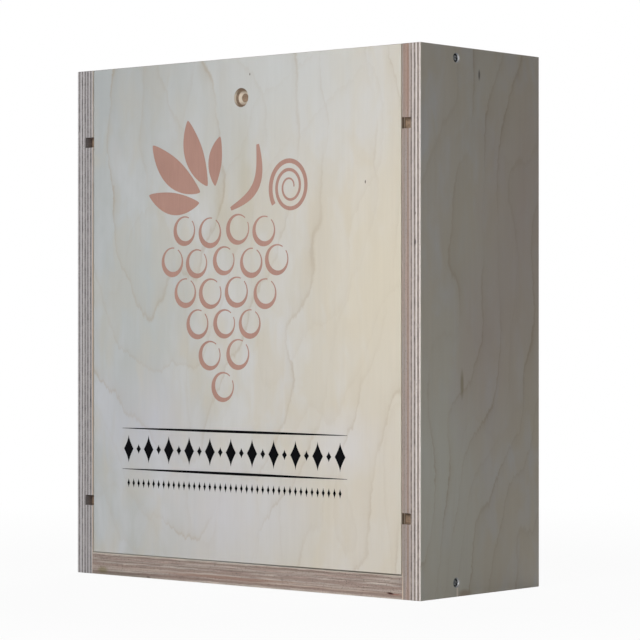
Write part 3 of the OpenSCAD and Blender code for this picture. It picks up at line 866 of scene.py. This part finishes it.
terracottaInk = screenInk("screenInkTerracottaMatt", "#BE978A", "#B08A7E")
blackInk = screenInk("screenInkBlackMatt", "#0D0D10", "#060608")
for name, (points, faces), material in (("lid_print_terracotta", terracottaShapes, terracottaInk),
                                        ("lid_print_black", blackShapes, blackInk)):
    piece = addMesh(name, points, faces, material)
    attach(piece, "lid")
print("print on the lid")

# Camera: a long lens off to the right of the front, level with the middle of the box
camera = {"place": (1.1970, -1.3793, 0.1717), "turn": 40.565, "tilt": 0.144, "lens": 151.0,
          "sensor": 36.0, "farthest": 50.0}
cameraData = bpy.data.cameras.new("camera")
cameraData.lens = camera["lens"]
cameraData.sensor_width = camera["sensor"]
cameraData.clip_end = camera["farthest"]
cameraObject = bpy.data.objects.new("camera", cameraData)
cameraObject.location = camera["place"]
cameraObject.rotation_euler = (np.radians(90 + camera["tilt"]), 0.0, np.radians(camera["turn"]))
bpy.context.scene.collection.objects.link(cameraObject)
bpy.context.scene.camera = cameraObject

# Studio light: a soft key, high in front, a small soft lamp close by at the right that makes the
# front fall off towards the left, a weak cool fill, and a lamp for the back, the left and the top
lights = {
    "keyLight": {"at": (0.35, -2.1, 1.05), "wide": 0.9, "tall": 0.9, "power": 23.7,
                 "colour": (1.0, 1.0, 1.0)},
    "nearLight": {"at": (0.30, -0.62, 0.13), "wide": 0.3, "tall": 0.3, "power": 1.12,
                  "colour": (1.0, 0.99, 0.98)},
    "fillLight": {"at": (-1.1, -1.3, 0.25), "wide": 1.0, "tall": 0.9, "power": 1.4,
                  "colour": (0.9, 0.96, 1.0)},
    "backLight": {"at": (-1.0, 1.7, 1.3), "wide": 1.0, "tall": 1.0, "power": 22.0,
                  "colour": (1.0, 1.0, 1.0)},
}
boxMiddle = np.array([0.0, 0.0, 0.17])
for name, light in lights.items():
    data = bpy.data.lights.new(name, "AREA")
    data.shape = "RECTANGLE"
    data.size = light["wide"]
    data.size_y = light["tall"]
    data.energy = light["power"]
    data.color = light["colour"]
    lamp = bpy.data.objects.new(name, data)
    lamp.location = light["at"]
    lamp.visible_camera = False
    away = np.array(light["at"]) - boxMiddle
    flatLength = np.hypot(away[0], away[1])
    lamp.rotation_euler = (np.arctan2(flatLength, away[2]), 0.0, np.arctan2(away[0], -away[1]))
    bpy.context.scene.collection.objects.link(lamp)
print("lights:", len(lights))


def seesBackground(tree):
    # 1 for a ray that shows the background, straight on, in a gloss or through glass; 0 for light
    rays = addNode(tree, "LightPath").outputs
    seen = addNode(tree, "Math", {"operation": "MAXIMUM"}, [rays["Is Camera Ray"], rays["Is Glossy Ray"]])
    return addNode(tree, "Math", {"operation": "MAXIMUM"}, [seen, rays["Is Transmission Ray"]])


# Room: white where it is seen, a dim even grey as light on the box
roomLight = 0.03
world = bpy.data.worlds.new("room")
world.use_nodes = True
world.node_tree.nodes.clear()
bpy.context.scene.world = world
roomTree = world.node_tree
strength = addNode(roomTree, "MapRange", {"To Min": roomLight, "To Max": 1.0},
                   {"Value": seesBackground(roomTree)})
backdrop = addNode(roomTree, "Background", {"Color": (1.0, 1.0, 1.0, 1.0)}, {"Strength": strength})
addNode(roomTree, "OutputWorld", None, {"Surface": backdrop})

# Floor: a white sheet. Where it is seen it is mostly its own glow, wholly so further out, so that
# it meets the white room without a line and yet takes the box's soft shadow.
paperFloor = {
    "half": 12.0,             # m
    "level": -0.0001,         # just under the base, which would share its plane otherwise
    "grey": 0.75,
    "glow": 1.0,
    "shareNear": 0.95,        # how much of it is glow by the box
    "fadeFrom": 0.25,         # m from the middle, where that starts to rise to 1
    "fadeTo": 0.8,
}
half = paperFloor["half"]
level = paperFloor["level"]
floorMesh = bpy.data.meshes.new("floor")
corners = [(-half, -half, level), (half, -half, level), (half, half, level), (-half, half, level)]
floorMesh.from_pydata(corners, [], [(0, 1, 2, 3)])
floor = bpy.data.objects.new("floor", floorMesh)
bpy.context.scene.collection.objects.link(floor)
floorMaterial, floorTree = newMaterial("whitePaperSweep")
paper = addNode(floorTree, "BsdfDiffuse", {"Color": 3 * [paperFloor["grey"]] + [1.0]})
glow = addNode(floorTree, "Emission", {"Color": (1.0, 1.0, 1.0, 1.0), "Strength": paperFloor["glow"]})
floorCoords = addNode(floorTree, "TexCoord")
reach = addNode(floorTree, "VectorMath", {"operation": "LENGTH"}, [floorCoords.outputs["Object"]])
reach = reach.outputs["Value"]
share = addNode(floorTree, "MapRange",
                {"From Min": paperFloor["fadeFrom"], "From Max": paperFloor["fadeTo"],
                 "To Min": paperFloor["shareNear"]}, {"Value": reach})
share = addNode(floorTree, "Math", {"operation": "MULTIPLY"}, [seesBackground(floorTree), share])
sheet = addNode(floorTree, "MixShader", None, [share, paper, glow])
addNode(floorTree, "OutputMaterial", None, {"Surface": sheet})
floor.data.materials.append(floorMaterial)

bpy.context.scene.view_settings.view_transform = "Standard"
